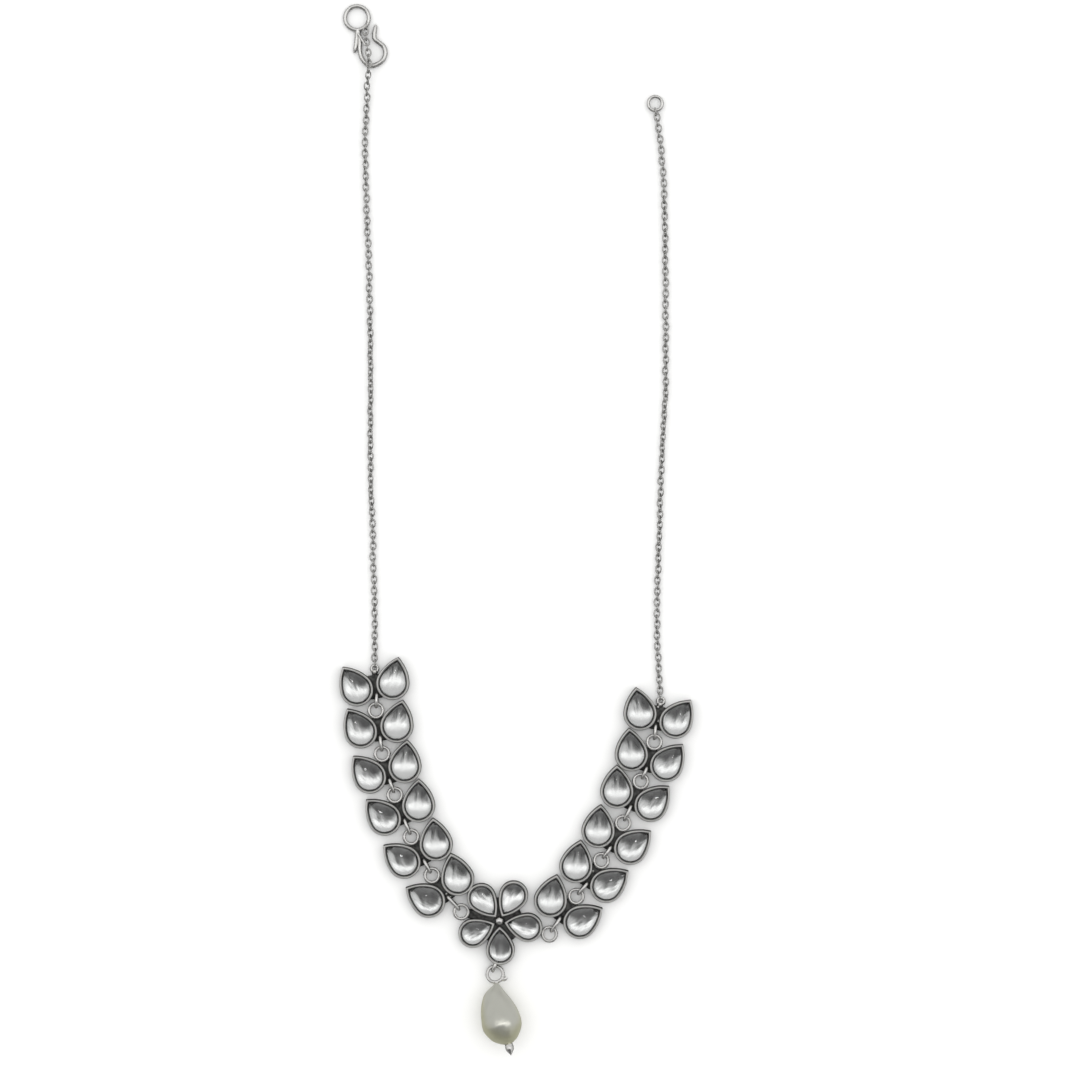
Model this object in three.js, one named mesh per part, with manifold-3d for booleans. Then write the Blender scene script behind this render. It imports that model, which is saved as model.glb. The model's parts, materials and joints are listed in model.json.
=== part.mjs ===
// Choker necklace of oxidised silver: two rows of paired pear stones, with a flower and a pearl drop
// between them.
// Millimetres, +Z up. The necklace lies on z = 0 with its front up. The origin is the middle of the
// flower's flat back, and +Y runs from the flower towards the clasp.

import * as THREE from "three";
import { mergeVertices } from "three/addons/utils/BufferGeometryUtils.js";
import Module from "manifold-3d";

const wasm = await Module();
wasm.setup();

const MERGE_DISTANCE = 1e-4; // corners closer than this are one

// Stones and their cups

// Round end's radius, its centre to the tip, and the height of the table
const LINK_STONE = { round: 2.55, reach: 4.6, table: 3.3 };
const PETAL_STONE = { round: 2.12, reach: 4.1, table: 3.0 };
// Widths beyond the stone's outline, then heights
const CUP = { base: 0.62, rimOuter: 0.54, rimInner: 0.3, seat: 0.15, floor: 0.8, rim: 2.2 };
const SEAT_GAP = 0.15; // under each stone
const GIRDLE = 1.35; // height where a stone's dome starts
const DOME = [
  { inset: 0.84, rise: 0.6 },
  { inset: 0.48, rise: 1.0 },
]; // outline scale and share of the dome's height, from the girdle up
const PEAR_SHOULDER = THREE.MathUtils.degToRad(15); // the round end runs this far past its middle
const PEAR_FULLNESS = 0.8; // how far the sides carry on straight before they turn to the tip, in round ends
const PEAR_STEPS = 4; // steps in each side, and twice as many in the round end

// Links

const PAIR_SPACING = 7.25; // between the round ends of a link's two stones
const PEAR_SPLAY = THREE.MathUtils.degToRad(22); // each tip leans outward by this much
const WEB = { top: 2.3, bottom: -2.4, halfWidth: 1.9, height: 1.3 };
const WIRE_LEVEL = 1.13; // height of all rings' middles
// Middle radius, wire radius, and distance above the link's centre
const RING = { middle: 1.58, wire: 0.33, offset: 3.7, sides: 5, steps: 12 };
// The small ring that takes the chain, and the width of its bar
const END_RING = { middle: 0.72, wire: 0.26, tongue: 1.1, sides: 5, steps: 10 };
// Hook-on loop below a link
const LOOP = { wire: 0.3, clear: 0.18, root: -1.35, sides: 5, steps: 14 };
const LOOP_BEND = RING.wire + LOOP.clear + LOOP.wire; // middle radius of the loop's round ends

// Links from the chain down to the flower: middle of the pair, and how far its head leans right
const LEFT_LINKS = [
  { x: -24.85, y: 46.75, lean: -10 },
  { x: -24.05, y: 38.3, lean: -9 },
  { x: -22.35, y: 29.75, lean: -16.5 },
  { x: -19.5, y: 21.65, lean: -21.5 },
  { x: -15.8, y: 13.5, lean: -29 },
  { x: -11.2, y: 6.15, lean: -37.5 },
];
const RIGHT_LINKS = [
  { x: 31.6, y: 40.5, lean: 13 },
  { x: 29.8, y: 32.1, lean: 17 },
  { x: 26.8, y: 24.4, lean: 22 },
  { x: 22.9, y: 16.2, lean: 28 },
  { x: 18.3, y: 8.9, lean: 33 },
  { x: 13.1, y: 1.9, lean: 36.5 },
];
const LEFT_END_RING = { x: -24.9, y: 50.3 };
const RIGHT_END_RING = { x: 32.2, y: 43.8 };

// Flower

const PETALS = [
  { name: "upper_left", angle: -38 },
  { name: "upper_right", angle: 29 },
  { name: "right", angle: 103 },
  { name: "bottom", angle: 178 },
  { name: "left", angle: -115 },
]; // degrees clockwise from +Y
const PETAL_OFFSET = 5.85; // flower's centre to the middle of a petal's round end
const FLOWER_WEB = { radius: 4.9, sides: 20 };
const CENTRE_BEAD = { radius: 0.95, height: 2.0, sides: 10, steps: 6 };
const LEFT_RING = { x: -7.6, y: 1.8 };
const RIGHT_RING = { x: 9.95, y: -2.65 };
const EYE_ROOT = 3.4; // middle of the bottom petal's round end to the root of the eye below it
const RING_TONGUE = 1.8; // width of the bar from the web to the left ring

// Pearl drop, hung from the flower's bottom eye

// Where the drop's ring hangs, and its turns in degrees
const DROP = { x: -1.1, y: -9.35, lean: 11.7, pitch: -15.6 };
const DROP_RING = { middle: 1.6, wire: 0.3, sides: 5, steps: 12 };
const PEARL_SECTIONS = [
  { along: 3.7, radius: 0.75, shift: -0.3 },
  { along: 4.1, radius: 1.35, shift: -0.6 },
  { along: 5.1, radius: 2.15, shift: -0.9 },
  { along: 7.3, radius: 3.2, shift: -0.8 },
  { along: 9.5, radius: 3.78, shift: -0.65 },
  { along: 12.0, radius: 3.87, shift: -0.6 },
  { along: 14.1, radius: 2.75, shift: -0.5 },
  { along: 15.1, radius: 1.5, shift: -0.3 },
  { along: 15.4, radius: 0.8, shift: -0.2 },
]; // distance below the eye, radius, and how far the section's middle lies to the right of the pin
const PEARL_SIDES = 16;
const PEARL_BORE = 0.5;
const PIN = { wire: 0.3, sides: 8, cap: 15.55, capSides: 10 };
const PIN_CAP = [
  { along: 17.7, radius: 0 },
  { along: 16.6, radius: 0.6 },
  { along: 15.95, radius: 0.85 },
  { along: 15.55, radius: 0.72 },
  { along: 15.55, radius: 0 },
]; // from the point up to the cap's flat top
const PIN_TAIL = [
  { x: 1.0, y: -2.8 },
  { x: 1.65, y: -2.95 },
  { x: 2.1, y: -2.7 },
]; // the cut end of the pin's wire, beside its ring
const PIN_TAIL_MESH = { sides: 6, steps: 4 };

// Clasp and chains

const HOOK_WIRE = 0.42;
const HOOK_LEVEL = HOOK_WIRE + 0.02;
const HOOK_EYE = { x: -28.45, y: 180.2, middle: 2.36, wire: HOOK_WIRE, sides: 8, steps: 16 };
const HOOK_BEND_MESH = { sides: 8, steps: 26 };
const HOOK_TAIL_MESH = { sides: 8, steps: 3 };
const HOOK_BEND = [
  { x: 0.2, y: -2.4 },
  { x: 0.6, y: -4.4 },
  { x: 0.6, y: -6.6 },
  { x: 1.3, y: -8.5 },
  { x: 2.7, y: -9.5 },
  { x: 4.3, y: -9.1 },
  { x: 5.5, y: -7.8 },
  { x: 5.5, y: -6.0 },
  { x: 4.5, y: -4.95 },
  { x: 3.6, y: -4.2 },
  { x: 3.45, y: -3.3 },
  { x: 3.75, y: -1.4 },
]; // from the eye's centre: shank, hook, and the turned-out tip
const HOOK_TAIL = [
  { x: 0.1, y: -2.4 },
  { x: -0.1, y: -4.5 },
  { x: -0.5, y: -6.9 },
];
const CHAIN_END_RING = { x: 31.1, y: 163.1, middle: 1.4, wire: 0.3, sides: 6, steps: 14 };
const CHAIN_RADIUS = 0.6;
const CHAIN_LEVEL = CHAIN_RADIUS + 0.05;
const CHAIN_OVER_HOOK = 1.68; // the left chain's height where it lies over the hook
const CHAIN_MESH = { sides: 8, steps: 36 };
const LEFT_CHAIN = [
  { x: -26.5, y: 177.95, z: CHAIN_LEVEL },
  { x: -26.5, y: 176.4, z: 0.9 },
  { x: -26.35, y: 173.6, z: 1.5 },
  { x: -26.15, y: 170.6, z: CHAIN_OVER_HOOK },
  { x: -26.3, y: 167.4, z: 1.35 },
  { x: -26.4, y: 164.4, z: 0.85 },
  { x: -26.55, y: 161.0, z: CHAIN_LEVEL },
  { x: -26.8, y: 154.0, z: CHAIN_LEVEL },
  { x: -26.4, y: 139.0, z: CHAIN_LEVEL },
  { x: -26.0, y: 128.0, z: CHAIN_LEVEL },
  { x: -25.7, y: 108.0, z: CHAIN_LEVEL },
  { x: -25.8, y: 94.0, z: CHAIN_LEVEL },
  { x: -25.3, y: 76.0, z: CHAIN_LEVEL },
  { x: -24.9, y: 62.0, z: CHAIN_LEVEL },
  { x: -24.8, y: 51.65, z: CHAIN_LEVEL },
];
const RIGHT_CHAIN = [
  { x: 31.25, y: 161.0, z: CHAIN_LEVEL },
  { x: 32.1, y: 155.0, z: CHAIN_LEVEL },
  { x: 32.8, y: 147.5, z: CHAIN_LEVEL },
  { x: 33.1, y: 135.0, z: CHAIN_LEVEL },
  { x: 33.2, y: 118.0, z: CHAIN_LEVEL },
  { x: 33.1, y: 105.0, z: CHAIN_LEVEL },
  { x: 32.5, y: 95.0, z: CHAIN_LEVEL },
  { x: 32.0, y: 81.0, z: CHAIN_LEVEL },
  { x: 31.6, y: 67.0, z: CHAIN_LEVEL },
  { x: 31.5, y: 56.0, z: CHAIN_LEVEL },
  { x: 31.8, y: 45.2, z: CHAIN_LEVEL },
];

// Materials

const oxidisedSilver = new THREE.MeshStandardMaterial({ color: 0x7d7d7b, roughness: 0.35, metalness: 1 });
const brightSilver = new THREE.MeshStandardMaterial({ color: 0xc9c9c7, roughness: 0.22, metalness: 1 });
const clearGlass = new THREE.MeshStandardMaterial({ color: 0xd8d9da, roughness: 0.05, metalness: 0 });
const pearl = new THREE.MeshStandardMaterial({ color: 0xc9c8ba, roughness: 0.25, metalness: 0 });

/** Pear outline with its round end about the origin and its tip at +Y, counter-clockwise. */
function pearOutline(round, reach) {
  const side = new THREE.Vector2(round * Math.cos(PEAR_SHOULDER), round * Math.sin(PEAR_SHOULDER));
  const bend = new THREE.Vector2(-side.y, side.x).multiplyScalar(PEAR_FULLNESS).add(side);
  const outline = new THREE.Shape();
  outline.absarc(0, 0, round, Math.PI - PEAR_SHOULDER, 2 * Math.PI + PEAR_SHOULDER, false);
  outline.quadraticCurveTo(bend.x, bend.y, 0, reach);
  outline.quadraticCurveTo(-bend.x, bend.y, -side.x, side.y);
  return outline.getPoints(PEAR_STEPS).slice(0, -1);
}

/** Closed solid whose walls pass through a stack of outlines, with the first and last ones filled in. */
function stackOutlines(levels) {
  const count = levels[0].outline.length;
  const positions = levels.flatMap(({ outline, z }) => outline.flatMap((point) => [point.x, point.y, z]));
  const indices = [];
  for (let level = 0; level < levels.length - 1; level++) {
    for (let i = 0; i < count; i++) {
      const next = (i + 1) % count;
      const low = level * count;
      const high = low + count;
      indices.push(low + i, low + next, high + next, low + i, high + next, high + i);
    }
  }
  const last = (levels.length - 1) * count;
  for (const [a, b, c] of THREE.ShapeUtils.triangulateShape(levels[0].outline, [])) {
    indices.push(a, c, b);
  }
  for (const [a, b, c] of THREE.ShapeUtils.triangulateShape(levels.at(-1).outline, [])) {
    indices.push(last + a, last + b, last + c);
  }
  const geometry = new THREE.BufferGeometry();
  geometry.setAttribute("position", new THREE.Float32BufferAttribute(positions, 3));
  geometry.setIndex(indices);
  return geometry;
}

/** Outside of the cup round a pear stone. */
function cupGeometry({ round, reach }) {
  return stackOutlines([
    { outline: pearOutline(round + CUP.base, reach + CUP.base), z: 0 },
    { outline: pearOutline(round + CUP.rimOuter, reach + CUP.rimOuter), z: CUP.rim },
  ]);
}

/** Hollow that is cut out of a cup for its stone. */
function seatGeometry({ round, reach }) {
  const mouth = pearOutline(round + CUP.rimInner, reach + CUP.rimInner);
  return stackOutlines([
    { outline: pearOutline(round + CUP.seat, reach + CUP.seat), z: CUP.floor },
    { outline: mouth, z: CUP.rim },
    { outline: mouth, z: CUP.rim + CUP.floor },
  ]);
}

/** Pear stone with a flat back, an upright girdle and a faceted dome with a table. */
function stoneGeometry({ round, reach, table }) {
  const outline = pearOutline(round, reach);
  const dome = DOME.map(({ inset, rise }) => ({
    outline: outline.map((point) => point.clone().multiplyScalar(inset)),
    z: GIRDLE + rise * (table - GIRDLE),
  }));
  return stackOutlines([{ outline, z: CUP.floor + SEAT_GAP }, { outline, z: GIRDLE }, ...dome]);
}

/** Oval wire loop in the XZ plane, round two centres at the origin and at +X. */
class OvalLoop extends THREE.Curve {
  constructor(length, bend) {
    super();
    this.length = length;
    this.bend = bend;
  }

  getPoint(t, target = new THREE.Vector3()) {
    const arc = Math.PI * this.bend;
    let along = t * 2 * (this.length + arc);
    if (along < this.length) {
      return target.set(along, 0, this.bend);
    }
    along -= this.length;
    if (along < arc) {
      const angle = along / this.bend;
      return target.set(this.length + this.bend * Math.sin(angle), 0, this.bend * Math.cos(angle));
    }
    along -= arc;
    if (along < this.length) {
      return target.set(this.length - along, 0, -this.bend);
    }
    const angle = (along - this.length) / this.bend;
    return target.set(-this.bend * Math.sin(angle), 0, -this.bend * Math.cos(angle));
  }
}

/** Closed wire loop from one point to another, standing upright on the ring's level. */
function loopGeometry(from, to) {
  const run = to.clone().sub(from);
  const curve = new OvalLoop(run.length(), LOOP_BEND);
  const geometry = new THREE.TubeGeometry(curve, LOOP.steps, LOOP.wire, LOOP.sides, true);
  return geometry.rotateZ(run.angle()).translate(from.x, from.y, WIRE_LEVEL);
}

/** Flat wire ring about a point. */
function ringGeometry({ middle, wire, sides, steps }, { x, y }, z) {
  return new THREE.TorusGeometry(middle, wire, sides, steps).translate(x, y, z);
}

/** Polygon for a wire's section. */
function wireSection(radius, sides) {
  const centre = new THREE.Vector2();
  const step = (2 * Math.PI) / sides;
  const corner = (i) => new THREE.Vector2(radius, 0).rotateAround(centre, i * step);
  return new THREE.Shape(Array.from({ length: sides }, (_, i) => corner(i)));
}

/** Wire or cord with capped ends along a smooth curve through the given points. */
function wireGeometry(points, radius, { steps, sides }) {
  const route = points.map(({ x, y, z = 0 }) => new THREE.Vector3(x, y, z));
  const extrudePath = new THREE.CatmullRomCurve3(route);
  return new THREE.ExtrudeGeometry(wireSection(radius, sides), { steps, extrudePath, bevelEnabled: false });
}

/** Block standing on z = 0 between two corners. */
function plateGeometry(left, right, bottom, top, height) {
  const plate = new THREE.BoxGeometry(right - left, top - bottom, height);
  return plate.translate((left + right) / 2, (bottom + top) / 2, height / 2);
}

/** Flat bar from the middle of a web to the near side of a ring. */
function tongueGeometry(centre, { middle }, width) {
  const reach = centre.length() - middle;
  return plateGeometry(0, reach, -width / 2, width / 2, WEB.height).rotateZ(centre.angle());
}

/** Geometry as a solid that can be joined, with its shared corners merged. */
function toSolid(geometry) {
  const bare = geometry.clone();
  bare.deleteAttribute("normal");
  bare.deleteAttribute("uv");
  const merged = mergeVertices(bare, MERGE_DISTANCE);
  const vertProperties = new Float32Array(merged.attributes.position.array);
  const triVerts = new Uint32Array(merged.index.array);
  return new wasm.Manifold(new wasm.Mesh({ numProp: 3, vertProperties, triVerts }));
}

/** Several geometries soldered into one, less the hollows cut out of them. */
function solder(geometries, hollows = []) {
  const joined = geometries.map(toSolid).reduce((whole, solid) => whole.add(solid));
  const mesh = hollows.map(toSolid).reduce((whole, hollow) => whole.subtract(hollow), joined).getMesh();
  const geometry = new THREE.BufferGeometry();
  geometry.setAttribute("position", new THREE.BufferAttribute(mesh.vertProperties, 3));
  geometry.setIndex(new THREE.BufferAttribute(mesh.triVerts, 1));
  return geometry;
}

/** Adds one named piece to a group. */
function addMesh(parent, name, geometry, material) {
  const mesh = new THREE.Mesh(geometry, material);
  mesh.name = name;
  parent.add(mesh);
  return mesh;
}

/** A link's place as a transform from its own frame to the necklace's. */
function linkFrame({ x, y, lean }) {
  const turn = new THREE.Matrix3().makeRotation(THREE.MathUtils.degToRad(-lean));
  return turn.premultiply(new THREE.Matrix3().makeTranslation(x, y));
}

/** Centre of a link's ring, in the necklace's frame. */
function linkRing(link) {
  return new THREE.Vector2(0, RING.offset).applyMatrix3(linkFrame(link));
}

/** One link: its soldered setting, hooked into the next ring, and its two stones. */
function makeLink(side, number, link, nextRing, endRing) {
  const group = new THREE.Group();
  group.position.set(link.x, link.y, 0);
  group.rotation.z = THREE.MathUtils.degToRad(-link.lean);
  const toLink = linkFrame(link).invert();
  const target = new THREE.Vector2(nextRing.x, nextRing.y).applyMatrix3(toLink);
  const root = new THREE.Vector2(0, LOOP.root);
  const hookPoint = root.clone().sub(target).setLength(RING.middle).add(target);
  const head = [];
  if (endRing) {
    const centre = new THREE.Vector2(endRing.x, endRing.y).applyMatrix3(toLink);
    head.push(ringGeometry(END_RING, centre, CHAIN_LEVEL));
    head.push(tongueGeometry(centre, END_RING, END_RING.tongue));
  } else {
    head.push(ringGeometry(RING, { x: 0, y: RING.offset }, WIRE_LEVEL));
  }
  const pears = [
    { name: side === "left" ? "outer" : "inner", x: -PAIR_SPACING / 2, turn: PEAR_SPLAY },
    { name: side === "left" ? "inner" : "outer", x: PAIR_SPACING / 2, turn: -PEAR_SPLAY },
  ];
  const cups = pears.map(({ x, turn }) => cupGeometry(LINK_STONE).rotateZ(turn).translate(x, 0, 0));
  const seats = pears.map(({ x, turn }) => seatGeometry(LINK_STONE).rotateZ(turn).translate(x, 0, 0));
  const web = plateGeometry(-WEB.halfWidth, WEB.halfWidth, WEB.bottom, WEB.top, WEB.height);
  const setting = solder([...cups, web, ...head, loopGeometry(root, hookPoint)], seats);
  addMesh(group, `${side}_link_${number}`, setting, oxidisedSilver);
  for (const { name, x, turn } of pears) {
    const stone = addMesh(group, `${side}_stone_${number}_${name}`, stoneGeometry(LINK_STONE), clearGlass);
    stone.position.x = x;
    stone.rotation.z = turn;
  }
  return group;
}

/** One row of links from the chain down to the flower. */
function makeRow(side, links, flowerRing, endRing) {
  const row = new THREE.Group();
  links.forEach((link, i) => {
    const nextRing = i + 1 < links.length ? linkRing(links[i + 1]) : flowerRing;
    row.add(makeLink(side, i + 1, link, nextRing, i === 0 ? endRing : null));
  });
  return row;
}

/** The flower: five cups on one web, with a centre bead, a ring at each side and an eye for the drop. */
function makeFlower() {
  const flower = new THREE.Group();
  const petals = PETALS.map(({ name, angle }) => ({ name, turn: THREE.MathUtils.degToRad(-angle) }));
  const onPetal = (geometry, turn) => geometry.rotateZ(Math.PI).translate(0, PETAL_OFFSET, 0).rotateZ(turn);
  const cups = petals.map(({ turn }) => onPetal(cupGeometry(PETAL_STONE), turn));
  const seats = petals.map(({ turn }) => onPetal(seatGeometry(PETAL_STONE), turn));
  const web = new THREE.CylinderGeometry(FLOWER_WEB.radius, FLOWER_WEB.radius, WEB.height, FLOWER_WEB.sides);
  web.rotateX(Math.PI / 2).translate(0, 0, WEB.height / 2);
  const bead = new THREE.SphereGeometry(CENTRE_BEAD.radius, CENTRE_BEAD.sides, CENTRE_BEAD.steps);
  bead.rotateX(Math.PI / 2).translate(0, 0, CENTRE_BEAD.height - CENTRE_BEAD.radius);
  const tongue = tongueGeometry(new THREE.Vector2(LEFT_RING.x, LEFT_RING.y), RING, RING_TONGUE);
  const lowest = petals.find(({ name }) => name === "bottom");
  const petalMiddle = new THREE.Vector2(0, PETAL_OFFSET).rotateAround(new THREE.Vector2(), lowest.turn);
  const hangPoint = new THREE.Vector2(DROP.x, DROP.y);
  const eyeRoot = hangPoint.clone().sub(petalMiddle).setLength(EYE_ROOT).add(petalMiddle);
  const eye = loopGeometry(eyeRoot, hangPoint);
  const rings = [LEFT_RING, RIGHT_RING].map((centre) => ringGeometry(RING, centre, WIRE_LEVEL));
  const setting = solder([...cups, web, bead, tongue, eye, ...rings], seats);
  addMesh(flower, "flower_setting", setting, oxidisedSilver);
  for (const { name, turn } of petals) {
    const holder = new THREE.Group();
    holder.rotation.z = turn;
    const stone = addMesh(holder, `petal_stone_${name}`, stoneGeometry(PETAL_STONE), clearGlass);
    stone.position.y = PETAL_OFFSET;
    stone.rotation.z = Math.PI;
    flower.add(holder);
  }
  return flower;
}

/** Round solid about the -Y axis, from a profile that runs towards +Y. */
function latheGeometry(profile, sides) {
  const points = profile.map(({ along, radius }) => new THREE.Vector2(radius, -along));
  return new THREE.LatheGeometry(points, sides);
}

/** Drilled pearl round the -Y axis, fuller on one side. */
function pearlGeometry() {
  const rows = [
    { along: PEARL_SECTIONS[0].along, radius: PEARL_BORE, shift: 0 },
    ...PEARL_SECTIONS,
    { along: PEARL_SECTIONS.at(-1).along, radius: PEARL_BORE, shift: 0 },
  ];
  const profile = [...rows, rows[0]].reverse();
  const geometry = latheGeometry(profile, PEARL_SIDES);
  const position = geometry.attributes.position;
  for (let i = 0; i < position.count; i++) {
    position.setX(i, position.getX(i) + profile[i % profile.length].shift);
  }
  return geometry;
}

/** The pin through the pearl: ring, cut tail, shank and pointed cap, with the eye's wire at the origin. */
function pinGeometry() {
  const ringBottom = 2 * DROP_RING.middle;
  const ring = ringGeometry(DROP_RING, { x: 0, y: -DROP_RING.middle }, 0);
  const shankLength = PIN.cap + PIN.wire - ringBottom;
  const shank = new THREE.CylinderGeometry(PIN.wire, PIN.wire, shankLength, PIN.sides);
  shank.translate(0, -ringBottom - shankLength / 2, 0);
  const cap = latheGeometry(PIN_CAP, PIN.capSides);
  const tail = wireGeometry(PIN_TAIL, PIN.wire, PIN_TAIL_MESH);
  return solder([ring, shank, cap, tail]);
}

/** The pearl and its pin, hanging from the flower's eye and lying on its belly. */
function makeDrop() {
  const drop = new THREE.Group();
  drop.position.set(DROP.x, DROP.y, WIRE_LEVEL);
  drop.rotation.z = THREE.MathUtils.degToRad(DROP.lean);
  const tilted = new THREE.Group();
  tilted.rotation.x = THREE.MathUtils.degToRad(DROP.pitch);
  addMesh(tilted, "pearl", pearlGeometry(), pearl);
  addMesh(tilted, "pearl_pin", pinGeometry(), brightSilver);
  drop.add(tilted);
  return drop;
}

/** S-hook: a closed eye with its cut tail, and the hook that takes the other chain's ring. */
function makeHook() {
  const eye = ringGeometry(HOOK_EYE, { x: 0, y: 0 }, 0);
  const bend = wireGeometry(HOOK_BEND, HOOK_WIRE, HOOK_BEND_MESH);
  const tail = wireGeometry(HOOK_TAIL, HOOK_WIRE, HOOK_TAIL_MESH);
  const clasp = new THREE.Group();
  clasp.position.set(HOOK_EYE.x, HOOK_EYE.y, HOOK_LEVEL);
  addMesh(clasp, "s_hook", solder([eye, bend, tail]), brightSilver);
  return clasp;
}

/** One chain as a plain cord of its outer width. */
function chainGeometry(points) {
  return wireGeometry(points, CHAIN_RADIUS, CHAIN_MESH);
}

const necklace = new THREE.Group();
necklace.add(
  makeRow("left", LEFT_LINKS, LEFT_RING, LEFT_END_RING),
  makeRow("right", RIGHT_LINKS, RIGHT_RING, RIGHT_END_RING),
  makeFlower(),
  makeDrop(),
  makeHook(),
);
addMesh(necklace, "end_ring", ringGeometry(CHAIN_END_RING, CHAIN_END_RING, CHAIN_LEVEL), brightSilver);
addMesh(necklace, "chain_left", chainGeometry(LEFT_CHAIN), brightSilver);
addMesh(necklace, "chain_right", chainGeometry(RIGHT_CHAIN), brightSilver);

export default necklace;
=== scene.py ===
"""Choker necklace of oxidised silver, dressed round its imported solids.

Pieces are modelled in millimetres, in the frame of the solids, and scaled to metres once they are in place.
"""

import json
import logging
import math
import random
from collections.abc import Sequence
from dataclasses import dataclass, field
from enum import Enum
from functools import partial
from typing import Any

import bpy
import numpy as np
from bpy.types import Material, Node, NodeSocket, NodeTree, Object
from mathutils import Matrix, Vector

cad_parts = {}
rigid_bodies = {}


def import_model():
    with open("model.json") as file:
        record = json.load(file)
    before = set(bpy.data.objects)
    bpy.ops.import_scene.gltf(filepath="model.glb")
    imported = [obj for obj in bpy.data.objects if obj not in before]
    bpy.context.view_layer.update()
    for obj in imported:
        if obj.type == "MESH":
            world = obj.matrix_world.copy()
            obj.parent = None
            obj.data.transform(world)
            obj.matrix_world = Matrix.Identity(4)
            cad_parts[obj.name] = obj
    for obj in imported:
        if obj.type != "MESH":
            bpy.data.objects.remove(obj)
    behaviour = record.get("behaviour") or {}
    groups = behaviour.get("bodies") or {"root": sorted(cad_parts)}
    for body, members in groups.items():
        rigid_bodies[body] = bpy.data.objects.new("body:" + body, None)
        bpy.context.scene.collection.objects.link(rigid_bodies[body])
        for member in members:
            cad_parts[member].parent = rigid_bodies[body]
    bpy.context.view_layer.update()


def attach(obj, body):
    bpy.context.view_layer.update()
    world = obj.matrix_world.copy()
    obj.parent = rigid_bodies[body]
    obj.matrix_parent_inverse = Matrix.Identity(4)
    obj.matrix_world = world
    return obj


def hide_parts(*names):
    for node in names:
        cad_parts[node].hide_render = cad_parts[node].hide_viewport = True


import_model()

MM = 0.001
BODY = "root"

log = logging.getLogger("choker")

Spot = tuple[float, float]
Point = tuple[float, float, float]
Outline = Sequence[Spot]


class Slot(Enum):
    """Material slots of the record."""

    OXIDISED_SILVER = "oxidised_silver"
    BRIGHT_SILVER = "bright_silver"
    CLEAR_STONE = "clear_stone"
    PEARL = "pearl"


class Side(Enum):
    """The two rows of links, as seen from the front."""

    LEFT = "left"
    RIGHT = "right"


# Point attributes of a stone: its own coordinates, and the slope of its foil
BENCH = "bench"
FOIL_LEAN = "foil_lean"

# Sockets of a mix node: the share, two numbers, two colours and the mixed colour
SHARE = 0
NUMBER_A = 2
NUMBER_B = 3
COLOUR_A = 6
COLOUR_B = 7
MIXED_COLOUR = 2
SOFT = {"interpolation_type": "SMOOTHSTEP"}

# Creases sharper than this many degrees stay sharp
CAST_CREASE = 40.0
WIRE_CREASE = 60.0
ROUND_CREASE = 80.0

# Heights in millimetres: the rings' wire, the chains on the table and the plates under the cups
WIRE_LEVEL = 1.13
CHAIN_LEVEL = 0.65
WEB_HEIGHT = 0.86

# Rings of the links and the flower: radius to the middle of the wire, and of the wire itself
RING_MIDDLE = 1.4
RING_WIRE = 0.31

# Middles of the flower's two rings, and of the wire that its eye holds
FLOWER_RINGS = {Side.LEFT: (-7.6, 1.8), Side.RIGHT: (9.95, -2.65)}
HANG_POINT = (-1.1, -9.35)

# Radius of an eye's wire, and steps round each of its ends
EYE_WIRE = 0.34
EYE_STEPS = 4

# Width and height of each step of a bar's edge
BAR_EDGE = ((0.0, 0.66), (0.2, WEB_HEIGHT))

# Depth and width of the hollows that hand work leaves in a casting
CAST_HOLLOW = (0.05, 1.2)

# Corners round a bead and rings up its head, roundness of a bent wire, and how close its points are welded
BEAD_SIDES = 24
BEAD_STEPS = 7
WIRE_ROUNDNESS = 4
WELD = 0.001

# A stone's faces that point lower than this are its back
FACING_DOWN = -0.9


def linear(colour: str) -> tuple[float, float, float, float]:
    """Turn an sRGB hex colour to linear RGBA.

    Args:
        colour: Six hex digits after a hash.

    Returns:
        Linear red, green, blue and a full alpha.
    """
    channels = [int(colour[i:i + 2], 16) / 255 for i in (1, 3, 5)]
    red, green, blue = [c / 12.92 if c <= 0.04045 else ((c + 0.055) / 1.055) ** 2.4 for c in channels]
    return red, green, blue, 1.0


def feed(node: Node, values: dict[str | int, Any], links: dict[str | int, NodeSocket]) -> None:
    """Set some of a node's inputs and link others.

    Args:
        node: Node that is fed.
        values: Fixed value for each named or numbered input.
        links: Output socket that feeds each named or numbered input.
    """
    for key, value in values.items():
        node.inputs[key].default_value = value
    for key, source in links.items():
        node.id_data.links.new(source, node.inputs[key])


def add_node(
    tree: NodeTree,
    kind: str,
    values: dict[str | int, Any] | None = None,
    links: dict[str | int, NodeSocket] | None = None,
    out: str | int = 0,
    **settings: Any,
) -> NodeSocket:
    """Add a shader node with its settings, values and links.

    Args:
        tree: Node tree that takes the node.
        kind: Node type, without its prefix.
        values: Fixed value for each named or numbered input.
        links: Output socket that feeds each named or numbered input.
        out: Name or number of the output that is wanted.
        **settings: Properties of the node itself.

    Returns:
        The wanted output socket.
    """
    node = tree.nodes.new(f"ShaderNode{kind}")
    for name, value in settings.items():
        setattr(node, name, value)
    feed(node, values or {}, links or {})
    return node.outputs[out]


def start_material(name: str) -> tuple[Material, Node]:
    """Make a material with one principled shader.

    Args:
        name: Common name of the real material.

    Returns:
        The material and its shader node.
    """
    material = bpy.data.materials.new(name)
    material.use_nodes = True
    return material, material.node_tree.nodes["Principled BSDF"]


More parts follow.
